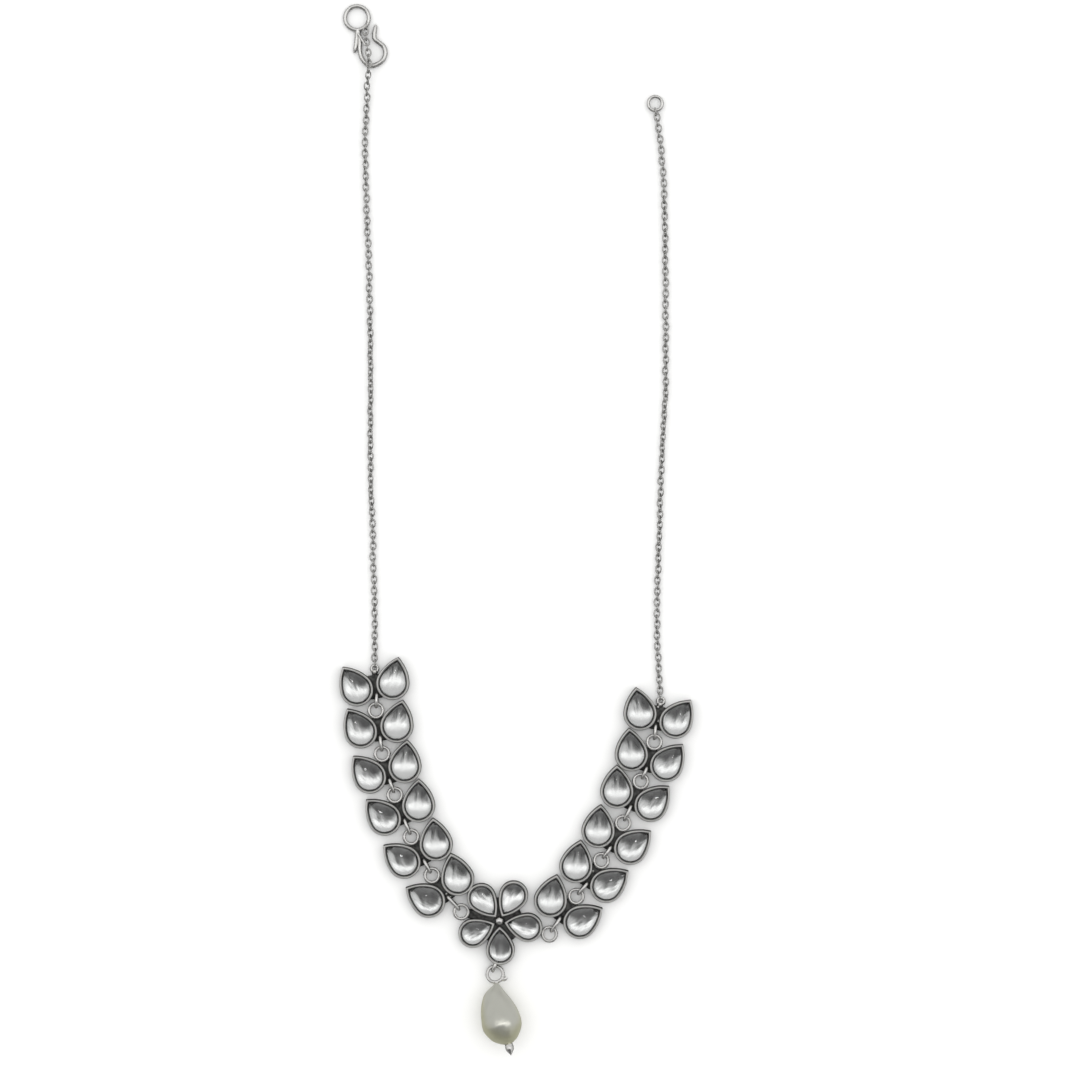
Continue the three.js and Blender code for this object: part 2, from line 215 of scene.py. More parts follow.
@dataclass(frozen=True)
class OxidisedSilver:
    """Cast silver, blackened all over and rubbed bright again on what stands highest."""

    silver: str = "#EFEEEB"
    oxide: str = "#6E6E6C"
    soot: str = "#454544"
    # Heights between which the oxide wears off, and how much of that a wall shows, by slope
    worn_from: float = 1.3
    worn_to: float = 2.05
    wall_slope: float = 0.1
    flat_slope: float = 0.65
    wall_share: float = 0.6
    # Width of the patches, how far they shift that height, and where they turn from soot to oxide
    mottle: float = 0.7
    mottle_rise: float = 0.12
    soot_from: float = 0.35
    soot_to: float = 0.65
    dull: float = 0.55
    rubbed: float = 0.45
    grain: float = 0.16
    grain_depth: float = 0.04

    def material(self) -> Material:
        """Wear the oxide off by height and slope.

        Returns:
            The material.
        """
        # To the eye: sooty in the recesses, bright on the rims, with the fine grain of a casting.
        # The grain of a real casting is finer, and is drawn as coarse as it needs to show.
        material, shader = start_material("oxidised cast silver")
        add = partial(add_node, material.node_tree)
        place = add("TexCoord", out="Object")
        height = add("SeparateXYZ", links={"Vector": place}, out="Z")
        mottle = add("TexNoise", {"Scale": 1 / (self.mottle * MM), "Detail": 3.0}, {"Vector": place})
        rise = self.mottle_rise * MM
        uneven = add("MapRange", {"To Min": -rise, "To Max": rise}, {"Value": mottle})
        level = add("Math", links={0: height, 1: uneven}, operation="ADD")
        heights = {"From Min": self.worn_from * MM, "From Max": self.worn_to * MM}
        high = add("MapRange", heights, {"Value": level}, **SOFT)
        facing = add("NewGeometry", out="Normal")
        upward = add("SeparateXYZ", links={"Vector": facing}, out="Z")
        slopes = {"From Min": self.wall_slope, "From Max": self.flat_slope, "To Min": self.wall_share}
        flat = add("MapRange", slopes, {"Value": upward})
        worn = add("Math", links={0: high, 1: flat}, operation="MULTIPLY")
        patches = {"From Min": self.soot_from, "From Max": self.soot_to}
        patchy = add("MapRange", patches, {"Value": mottle})
        dark = {COLOUR_A: linear(self.soot), COLOUR_B: linear(self.oxide)}
        patina = add("Mix", dark, {SHARE: patchy}, MIXED_COLOUR, data_type="RGBA")
        over = {SHARE: worn, COLOUR_A: patina}
        colour = add("Mix", {COLOUR_B: linear(self.silver)}, over, MIXED_COLOUR, data_type="RGBA")
        roughness = add("MapRange", {"To Min": self.dull, "To Max": self.rubbed}, {"Value": worn})
        grain = add("TexNoise", {"Scale": 1 / (self.grain * MM), "Detail": 2.0}, {"Vector": place})
        bump = add("Bump", {"Strength": 0.5, "Distance": self.grain_depth * MM}, {"Height": grain})
        feed(shader, {"Metallic": 1.0}, {"Base Color": colour, "Roughness": roughness, "Normal": bump})
        return material


@dataclass(frozen=True)
class SilverWire:
    """Drawn silver wire, handled bright, tarnished in patches and with shade painted down its sides."""

    name: str = "polished silver wire"
    silver: str = "#F2F1EE"
    # Dark colour of the patchy tarnished silver and of the shade painted down the wire's sides
    tarnish_and_side_shade: str = "#868684"
    patch: float = 0.6
    patch_share: float = 0.4
    # Slopes over which the painted side shade gives way to bright silver
    worn_from: float = 0.0
    worn_to: float = 0.6
    polished: float = 0.2
    dulled: float = 0.36

    def material(self) -> Material:
        """Paint shade down the wire's sides by slope, tarnished in patches.

        Returns:
            The material.
        """
        # To the eye: bright along the top of the wire, darker down its sides, partly patchy tarnished
        # silver and partly painted shade.
        material, shader = start_material(self.name)
        add = partial(add_node, material.node_tree)
        place = add("TexCoord", out="Object")
        facing = add("NewGeometry", out="Normal")
        upward = add("SeparateXYZ", links={"Vector": facing}, out="Z")
        patch = add("TexNoise", {"Scale": 1 / (self.patch * MM), "Detail": 4.0}, {"Vector": place})
        both_ways = {"To Min": -self.patch_share, "To Max": self.patch_share}
        uneven = add("MapRange", both_ways, {"Value": patch})
        level = add("Math", links={0: upward, 1: uneven}, operation="ADD")
        slopes = {"From Min": self.worn_from, "From Max": self.worn_to}
        worn = add("MapRange", slopes, {"Value": level}, **SOFT)
        # Painted shade: sides that turn down take the dark colour, shifted in patches like tarnished silver
        colours = {COLOUR_A: linear(self.tarnish_and_side_shade), COLOUR_B: linear(self.silver)}
        colour = add("Mix", colours, {SHARE: worn}, MIXED_COLOUR, data_type="RGBA")
        roughness = add("MapRange", {"To Min": self.polished, "To Max": self.dulled}, {"Value": patch})
        feed(shader, {"Metallic": 1.0}, {"Base Color": colour, "Roughness": roughness})
        return material


@dataclass(frozen=True)
class ClearGlass:
    """Clear pressed glass with a polished dome."""

    tint: str = "#F7F8F8"
    ior: float = 1.52

    def material(self) -> Material:
        """Let light through to the foil.

        Returns:
            The material.
        """
        # To the eye: a clear drop that bends and enlarges the foil behind it.
        material, shader = start_material("clear glass")
        clear = {"Base Color": linear(self.tint), "Transmission Weight": 1.0}
        feed(shader, {**clear, "Roughness": 0.0, "IOR": self.ior}, {})
        return material


@dataclass(frozen=True)
class SilverFoil:
    """Thin silver leaf behind a stone, slightly crumpled and not laid quite level."""

    silver: str = "#F0F0EF"
    crease: float = 0.9
    crease_length: float = 3.5
    crease_depth: float = 0.05
    # How far the pattern has moved on a millimetre further along the necklace
    change: float = 0.09
    roughness: float = 0.18

    def material(self) -> Material:
        """Crease the foil along the stone, in other places on each stone.

        Returns:
            The material.
        """
        # To the eye: a soft mirror whose creases streak what the stone throws back.
        material, shader = start_material("silver foil")
        add = partial(add_node, material.node_tree)
        bench = add("Attribute", out="Vector", attribute_name=BENCH)
        sizes = (1 / self.crease, 1 / self.crease_length, 1.0)
        drawn = add("Mapping", {"Scale": sizes}, {"Vector": bench})
        place = add("TexCoord", out="Object")
        apart = add("VectorMath", {1: (self.change / MM,) * 3}, {0: place}, operation="MULTIPLY")
        spot = add("VectorMath", links={0: drawn, 1: apart}, operation="ADD")
        creases = add("TexNoise", {"Scale": 1.0, "Detail": 1.0}, {"Vector": spot})
        lean = add("Attribute", out="Fac", attribute_name=FOIL_LEAN)
        aside = add("CombineXYZ", links={"Y": lean})
        level = add("NewGeometry", out="Normal")
        leaning = add("VectorMath", links={0: level, 1: aside}, operation="SUBTRACT")
        facing = add("VectorMath", links={0: leaning}, operation="NORMALIZE")
        depth = {"Strength": 1.0, "Distance": self.crease_depth * MM}
        bump = add("Bump", depth, {"Height": creases, "Normal": facing})
        mirror = {"Base Color": linear(self.silver), "Metallic": 1.0, "Roughness": self.roughness}
        feed(shader, mirror, {"Normal": bump})
        return material


@dataclass(frozen=True)
class Nacre:
    """Cream drop pearl."""

    # The pearl's cream, and the olive of the shade painted on its flanks
    cream: str = "#BCBCB3"
    shade_olive: str = "#B1B097"
    cloud: float = 5.0
    cloud_share: float = 0.2
    # How much a flank that faces the flower, towards the light, counts as top in the painted shade
    lit_side_share: float = 0.9
    shade_slopes: Spot = (0.3, 1.0)
    lustre_slopes: Spot = (0.35, 0.9)
    lustre: Spot = (0.2, 0.7)
    ripple: float = 1.6
    ripple_depth: float = 0.12
    roughness: float = 0.34

    def material(self) -> Material:
        """Paint olive shade on the pearl by slope, with clouds and ripples.

        Returns:
            The material.
        """
        # To the eye: pale and mirror-like on top, with olive shade painted down the flanks and on the side
        # away from the flower, a little cloudy.
        material, shader = start_material("pearl nacre")
        add = partial(add_node, material.node_tree)
        place = add("TexCoord", out="Object")
        cloud = add("TexNoise", {"Scale": 1 / (self.cloud * MM), "Detail": 3.0}, {"Vector": place})
        both_ways = {"To Min": -self.cloud_share, "To Max": self.cloud_share}
        uneven = add("MapRange", both_ways, {"Value": cloud})
        facing = add("NewGeometry", out="Normal")
        axes = add("SeparateXYZ", links={"Vector": facing}).node.outputs
        upward = add("Math", links={0: axes["Z"], 1: uneven}, operation="ADD")
        towards = {0: axes["Y"], 2: upward}
        level = add("Math", {1: self.lit_side_share}, towards, operation="MULTIPLY_ADD")
        # Painted shade: olive where the nacre turns down or away from the flower, cream where it faces up
        start, end = self.shade_slopes
        share = add("MapRange", {"From Min": start, "From Max": end}, {"Value": level}, **SOFT)
        colours = {COLOUR_A: linear(self.shade_olive), COLOUR_B: linear(self.cream)}
        colour = add("Mix", colours, {SHARE: share}, MIXED_COLOUR, data_type="RGBA")
        start, end = self.lustre_slopes
        matt, bright = self.lustre
        shine = {"From Min": start, "From Max": end, "To Min": matt, "To Max": bright}
        lustre = add("MapRange", shine, {"Value": axes["Z"]})
        ripple = add("TexNoise", {"Scale": 1 / (self.ripple * MM), "Detail": 1.0}, {"Vector": place})
        bump = add("Bump", {"Strength": 1.0, "Distance": self.ripple_depth * MM}, {"Height": ripple})
        shading = {"Base Color": colour, "Metallic": lustre, "Normal": bump}
        feed(shader, {"Roughness": self.roughness}, shading)
        return material


@dataclass(frozen=True)
class PaleFloor:
    """White table, with a grey reflection painted where polished silver mirrors it."""

    white: str = "#F4F4F3"
    # Grey painted into the table's reflection in polished silver
    mirrored: str = "#8C8C8A"
    roughness: float = 0.9
    shine: float = 0.1

    def material(self) -> Material:
        """Paint the table's reflection grey, for mirrors only.

        Returns:
            The material.
        """
        # To the eye: matt white, and a painted grey reflection where polished silver mirrors it.
        material, shader = start_material("white table")
        add = partial(add_node, material.node_tree)
        # Painted reflection: glossy rays see the table grey
        mirror = add("LightPath", out="Is Glossy Ray")
        colours = {COLOUR_A: linear(self.white), COLOUR_B: linear(self.mirrored)}
        colour = add("Mix", colours, {SHARE: mirror}, MIXED_COLOUR, data_type="RGBA")
        matt = {"Roughness": self.roughness, "Specular IOR Level": self.shine}
        feed(shader, matt, {"Base Color": colour})
        return material


# The chain's wire, with the same shade painted down the sides of its links, a little darker
CHAIN_WIRE = SilverWire(name="silver chain wire", silver="#D2D1CE", tarnish_and_side_shade="#747472", worn_to=0.7)


@dataclass(frozen=True)
class Finishes:
    """All finishes, each made once."""

    cast: Material
    wire: Material
    chain: Material
    glass: Material
    foil: Material
    pearl: Material
    floor: Material

    @classmethod
    def make(cls) -> "Finishes":
        """Make every material of the necklace and its table.

        Returns:
            The finishes.
        """
        return cls(
            cast=OxidisedSilver().material(),
            wire=SilverWire().material(),
            chain=CHAIN_WIRE.material(),
            glass=ClearGlass().material(),
            foil=SilverFoil().material(),
            pearl=Nacre().material(),
            floor=PaleFloor().material(),
        )


def deselect() -> None:
    """Select nothing, so that the next operator meets only its own piece."""
    bpy.ops.object.select_all(action="DESELECT")


def activate(pieces: Sequence[Object]) -> None:
    """Select pieces alone and make the first one active.

    Args:
        pieces: Objects to select.
    """
    deselect()
    for piece in pieces:
        piece.select_set(True)
    bpy.context.view_layer.objects.active = pieces[0]


def join(pieces: Sequence[Object]) -> Object:
    """Join pieces into the first one.

    Args:
        pieces: Objects that become one mesh.

    Returns:
        The first object, which holds them all.
    """
    activate(pieces)
    bpy.ops.object.join()
    return pieces[0]


def copy_to(template: Object, place: Matrix) -> Object:
    """Copy a modelled piece, mesh and all, to a place.

    Args:
        template: The piece modelled once.
        place: Transform from the piece's own frame, in millimetres.

    Returns:
        The copy, with its place in its mesh.
    """
    piece = template.copy()
    piece.data = template.data.copy()
    bpy.context.scene.collection.objects.link(piece)
    piece.data.transform(place)
    return piece


def discard(*templates: Object) -> None:
    """Remove pieces that were modelled only to be copied."""
    for template in templates:
        bpy.data.objects.remove(template, do_unlink=True)


def turn(degrees: float, x: float = 0.0, y: float = 0.0, z: float = 0.0) -> Matrix:
    """Turn counter-clockwise about Z, then move."""
    return Matrix.Translation((x, y, z)) @ Matrix.Rotation(math.radians(degrees), 4, "Z")


def dress(piece: Object, *materials: Material) -> None:
    """Give a piece its materials and nothing else.

    Args:
        piece: Mesh object.
        *materials: Its materials, in the order of their slots.
    """
    piece.data.materials.clear()
    for material in materials:
        piece.data.materials.append(material)


def smooth(piece: Object, crease: float) -> None:
    """Shade a piece smooth, with creases sharper than so many degrees kept."""
    activate([piece])
    bpy.ops.object.shade_smooth_by_angle(angle=math.radians(crease))


def settle(piece: Object, name: str, slot: Slot, *nodes: str) -> None:
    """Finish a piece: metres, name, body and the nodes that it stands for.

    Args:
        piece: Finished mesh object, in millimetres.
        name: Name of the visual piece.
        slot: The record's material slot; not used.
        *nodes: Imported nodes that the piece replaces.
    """
    piece.data.transform(Matrix.Scale(MM, 4))
    piece.name = name
    piece.data.name = name
    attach(piece, BODY)
    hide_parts(*nodes)
    log.info("%s: %d faces", name, len(piece.data.polygons))


class Workpiece:
    """One solid on the bench, raised from a flat outline by edit-mode operators."""

    def __init__(self, outline: Outline, height: float) -> None:
        """Lay an outline flat, ready to be raised.

        Args:
            outline: Its points, counter-clockwise.
            height: Height of the outline.
        """
        deselect()
        bpy.ops.mesh.primitive_circle_add(vertices=len(outline), radius=1.0, fill_type="NGON")
        self.piece = bpy.context.object
        mesh = self.piece.data
        for index, (x, y) in zip(mesh.polygons[0].vertices, outline):
            mesh.vertices[index].co = (x, y, height)
        self.height = height
        bpy.ops.object.mode_set(mode="EDIT")
        bpy.ops.mesh.select_mode(type="FACE")
        bpy.ops.mesh.select_all(action="SELECT")

    def rise(self, to: float) -> None:
        """Extrude the top face straight up or down to a height."""
        bpy.ops.mesh.extrude_region_move(TRANSFORM_OT_translate={"value": (0.0, 0.0, to - self.height)})
        self.height = to

    def step_in(self, width: float, to: float) -> None:
        """Inset the top face by a width while it moves to a height."""
        bpy.ops.mesh.inset(thickness=width, depth=to - self.height)
        self.height = to

    def scale(self, share: float, x: float = 0.0, y: float = 0.0) -> None:
        """Scale the top face about a point of its plane."""
        bpy.ops.transform.resize(value=(share, share, 1.0), center_override=(x, y, self.height))

    def shift(self, x: float) -> None:
        """Move the top face sideways."""
        bpy.ops.transform.translate(value=(x, 0.0, 0.0))

    def dome(self, top: float, steps: int, x: float = 0.0, y: float = 0.0) -> None:
        """Raise the top face to a rounded end.

        Args:
            top: Height of the end.
            steps: Rings from the foot of the dome to its end.
            x: Where the end lies, across.
            y: Where the end lies, along.
        """
        foot = self.height
        share = 1.0
        for step in range(1, steps):
            angle = math.pi / 2 * step / steps
            self.rise(foot + (top - foot) * math.sin(angle))
            self.scale(math.cos(angle) / share, x, y)
            share = math.cos(angle)
        self.rise(top)
        bpy.ops.mesh.merge(type="CENTER")

    def done(self) -> Object:
        """Leave the bench with every face turned outwards.

        Returns:
            The solid.
        """
        bpy.ops.mesh.select_all(action="SELECT")
        bpy.ops.mesh.normals_make_consistent(inside=False)
        bpy.ops.object.mode_set(mode="OBJECT")
        return self.piece


def circle(radius: float, sides: int, x: float = 0.0, y: float = 0.0) -> Outline:
    """Draw a circle about a point, counter-clockwise."""
    angles = np.linspace(0.0, 2 * math.pi, sides, endpoint=False)
    return [(x + radius * math.cos(angle), y + radius * math.sin(angle)) for angle in angles]


def bar(length: float, width: float) -> Outline:
    """Draw a bar from the origin along +X."""
    half = width / 2
    return [(0.0, -half), (length, -half), (length, half), (0.0, half)]


def smooth_path(points: Sequence[Sequence[float]], steps: int) -> np.ndarray:
    """Run a smooth curve through points.

    Args:
        points: Points of any dimension.
        steps: Steps between two points.

    Returns:
        Rows along the curve, with the first and last point.
    """
    knots = np.array(points, float)
    padded = np.vstack([2 * knots[0] - knots[1], knots, 2 * knots[-1] - knots[-2]])
    rows = []
    for i in range(len(knots) - 1):
        before, start, end, after = padded[i:i + 4]
        for t in np.linspace(0.0, 1.0, steps, endpoint=False):
            slope = (end - before) * t
            curve = (2 * before - 5 * start + 4 * end - after) * t**2
            rows.append(0.5 * (2 * start + slope + curve + (3 * start - before - 3 * end + after) * t**3))
    return np.vstack([*rows, knots[-1]])


def raise_plate(outline: Outline, edge: Sequence[Spot], place: Matrix) -> Object:
    """Raise a flat plate with a stepped edge.

    Args:
        outline: The plate from above.
        edge: Width and height of each step of its edge, from the foot up.
        place: Transform from the plate's own frame.

    Returns:
        The plate.
    """
    work = Workpiece(outline, 0.0)
    (_, foot), *steps = edge
    work.rise(foot)
    for width, height in steps:
        work.step_in(width, height)
    plate = work.done()
    plate.data.transform(place)
    return plate


def raise_round(sections: Sequence[Sequence[float]], sides: int) -> Object:
    """Raise a round solid through its sections.

    Args:
        sections: Height, radius and sideways shift of each section, from the foot up.
        sides: Corners of a section.

    Returns:
        The solid, closed at both ends.
    """
    (foot, radius, shift), *rest = sections
    work = Workpiece(circle(radius, sides, shift), foot)
    for height, next_radius, next_shift in rest:
        work.rise(height)
        work.scale(next_radius / radius, x=shift)
        work.shift(next_shift - shift)
        radius, shift = next_radius, next_shift
    return work.done()


def bend_wire(
    points: Sequence[Point],
    radius: float,
    closed: bool = False,
    taper: Sequence[float] | None = None,
    steps: int = 6,
) -> Object:
    """Bend a round wire through points.

    Args:
        points: Middle of the wire, in millimetres.
        radius: Radius of the wire.
        closed: Whether the wire's ends meet.
        taper: Share of the radius at each point.
        steps: Steps between two points.

    Returns:
        The wire as a mesh with closed ends.
    """
    deselect()
    bpy.ops.curve.primitive_bezier_curve_add()
    wire = bpy.context.object
    wire.data.bevel_depth = radius
    wire.data.bevel_resolution = WIRE_ROUNDNESS
    wire.data.resolution_u = steps
    wire.data.use_fill_caps = not closed
    spline = wire.data.splines[0]
    spline.bezier_points.add(len(points) - len(spline.bezier_points))
    spline.use_cyclic_u = closed
    for knot, point, share in zip(spline.bezier_points, points, taper or [1.0] * len(points)):
        knot.co = point
        knot.handle_left_type = "AUTO"
        knot.handle_right_type = "AUTO"
        knot.radius = share
    bpy.ops.object.convert(target="MESH")
    wire = bpy.context.object
    bpy.ops.object.mode_set(mode="EDIT")
    bpy.ops.mesh.select_all(action="SELECT")
    bpy.ops.mesh.remove_doubles(threshold=WELD)
    bpy.ops.mesh.normals_make_consistent(inside=False)
    bpy.ops.object.mode_set(mode="OBJECT")
    return wire


def make_ring(centre: Point, middle: float, wire: float, segments: tuple[int, int] = (40, 12)) -> Object:
    """Form a flat round ring from wire.

    Args:
        centre: Middle of the ring.
        middle: Radius to the middle of its wire.
        wire: Radius of its wire.
        segments: Corners round the ring and round its wire.

    Returns:
        The ring.
    """
    deselect()
    around, across = segments
    bpy.ops.mesh.primitive_torus_add(
        location=centre,
        major_radius=middle,
        minor_radius=wire,
        major_segments=around,
        minor_segments=across,
    )
    bpy.ops.object.transform_apply(location=True, rotation=True, scale=True)
    return bpy.context.object


def make_eye(start: Vector, end: Vector, bend: float) -> Object:
    """Form an upright oval eye of wire round two points on the rings' level.

    Args:
        start: Middle of the eye's round end in the casting.
        end: Middle of the wire that the eye holds.
        bend: Radius of the round ends.

    Returns:
        The eye.
    """
    along = (end - start).normalized()
    points: list[Point] = []
    for middle, first in ((end, 90), (start, 270)):
        for step in range(EYE_STEPS + 1):
            angle = math.radians(first - 180 * step / EYE_STEPS)
            spot = middle + along * bend * math.cos(angle)
            points.append((spot.x, spot.y, WIRE_LEVEL + bend * math.sin(angle)))
    return bend_wire(points, EYE_WIRE, closed=True, steps=4)


def make_bead(x: float, y: float, radius: float, top: float) -> Object:
    """Raise a round-headed bead from a plate.

    Args:
        x: Middle of the bead, across.
        y: Middle of the bead, along.
        radius: Radius of its head.
        top: Height of its head.

    Returns:
        The bead.
    """
    work = Workpiece(circle(radius, BEAD_SIDES, x, y), WEB_HEIGHT / 2)
    work.rise(top - radius)
    work.dome(top, BEAD_STEPS, x, y)
    return work.done()


def roughen(piece: Object, depth: float, size: float) -> None:
    """Make a piece slightly uneven, as hand work is.

    Args:
        piece: Mesh in millimetres.
        depth: Greatest difference in height.
        size: Width of one hollow.
    """
    clouds = bpy.data.textures.new("hand work", type="CLOUDS")
    clouds.noise_scale = size
    activate([piece])
    modifier = piece.modifiers.new("hand work", "DISPLACE")
    modifier.texture = clouds
    modifier.texture_coords = "LOCAL"
    modifier.strength = depth
    bpy.ops.object.modifier_apply(modifier=modifier.name)


def solder(cast: Sequence[Object], wires: Sequence[Object], finishes: Finishes) -> Object:
    """Dress castings and wires and make one setting of them.

    Args:
        cast: Cast pieces, which stay dark in their recesses.
        wires: Bright pieces.
        finishes: Materials.

    Returns:
        The setting, slightly uneven.
    """
    for piece in cast:
        dress(piece, finishes.cast)
    for piece in wires:
        dress(piece, finishes.wire)
    setting = join([*cast, *wires])
    roughen(setting, *CAST_HOLLOW)
    smooth(setting, CAST_CREASE)
    return setting


@dataclass(frozen=True)
class PearStone:
    """Foil-backed pear stone with a smooth dome, and the cup that holds it."""

    # Radius of the round end, distance of the tip, height of the dome and where it is highest
    round_end: float
    reach: float
    top: float
    apex: float
    back: float = 0.95
    girdle: float = 1.6
    shoulder: float = math.radians(15)
    fullness: float = 0.8
    arc_steps: int = 36
    flank_steps: int = 10
    rings: int = 14
    # Width beyond the stone and height of each corner of the cup, from its foot over the rim to the seat
    cup: Outline = (
        (0.74, 0.0), (0.74, 0.3), (0.72, 1.6), (0.69, 1.92), (0.62, 2.11), (0.53, 2.19),
        (0.44, 2.2), (0.35, 2.15), (0.28, 2.03), (0.22, 1.8), (0.12, 0.9),
    )

    def outline(self, beyond: float = 0.0, blunt: bool = False) -> Outline:
        """Draw the pear about its round end, with its tip at +Y.

        Args:
            beyond: Width added all round.
            blunt: Whether the tip is rounded.

        Returns:
            Points counter-clockwise from the left shoulder.
        """
        radius = self.round_end + beyond
        tip = Vector((0.0, self.reach + beyond))
        shoulder = Vector((radius * math.cos(self.shoulder), radius * math.sin(self.shoulder)))
        bend = shoulder + self.fullness * Vector((-shoulder.y, shoulder.x))
        ends = (math.pi - self.shoulder, 2 * math.pi + self.shoulder)
        arc = np.linspace(*ends, self.arc_steps, endpoint=False)
        points = [(radius * math.cos(angle), radius * math.sin(angle)) for angle in arc]
        flank = []
        for step in range(self.flank_steps):
            t = step / self.flank_steps
            spot = (1 - t) ** 2 * shoulder + 2 * t * (1 - t) * bend + t**2 * tip
            flank.append((spot.x, spot.y))
        mirrored = [(-x, y) for x, y in reversed(flank[1:])]
        end = [tuple(tip)]
        if blunt:
            x, y = flank[-1]
            end = [(x * (1 - 2 * t), y + 2 * t * (1 - t) * (tip.y - y)) for t in (0.25, 0.5, 0.75)]
        return [*points, *flank, *end, *mirrored]

    def build_stone(self, finishes: Finishes) -> Object:
        """Raise the dome from the stone's flat back, clear all over with foil on the back.

        Args:
            finishes: Materials.

        Returns:
            The stone, which keeps each point's own coordinates.
        """
        work = Workpiece(self.outline(blunt=True), self.back)
        work.rise(self.girdle)
        work.dome(self.top, self.rings, y=self.apex)
        stone = work.done()
        smooth(stone, ROUND_CREASE)
        dress(stone, finishes.glass, finishes.foil)
        for face in stone.data.polygons:
            face.material_index = int(face.normal.z < FACING_DOWN)
        bench = stone.data.attributes.new(BENCH, "FLOAT_VECTOR", "POINT")
        for spot, vertex in zip(bench.data, stone.data.vertices):
            spot.vector = vertex.co
        return stone

    def build_cup(self) -> Object:
        """Raise the cup's wall, roll its rim over and sink its seat.

        Returns:
            The cup.
        """
        (beyond, floor), (_, foot), *wall = self.cup
        work = Workpiece(self.outline(beyond), floor)
        work.rise(foot)
        for width, height in wall:
            work.step_in(beyond - width, height)
            beyond = width
        return work.done()


def set_stone(stone: Object, place: Matrix, foil_lean: float, node: str) -> None:
    """Set a copy of a stone in its cup.

    Args:
        stone: The stone modelled once.
        place: Transform from the stone's own frame.
        foil_lean: Slope of its foil towards the flower's end.
        node: Packed stone that it stands for.
    """
    copy = copy_to(stone, place)
    lean = copy.data.attributes.new(FOIL_LEAN, "FLOAT", "POINT")
    lean.data.foreach_set("value", [foil_lean] * len(lean.data))
    settle(copy, f"{node}_glass", Slot.CLEAR_STONE, node)


LINK_STONE = PearStone(round_end=2.58, reach=4.63, top=3.3, apex=0.7)
PETAL_STONE = PearStone(round_end=2.15, reach=4.13, top=3.0, apex=0.6)


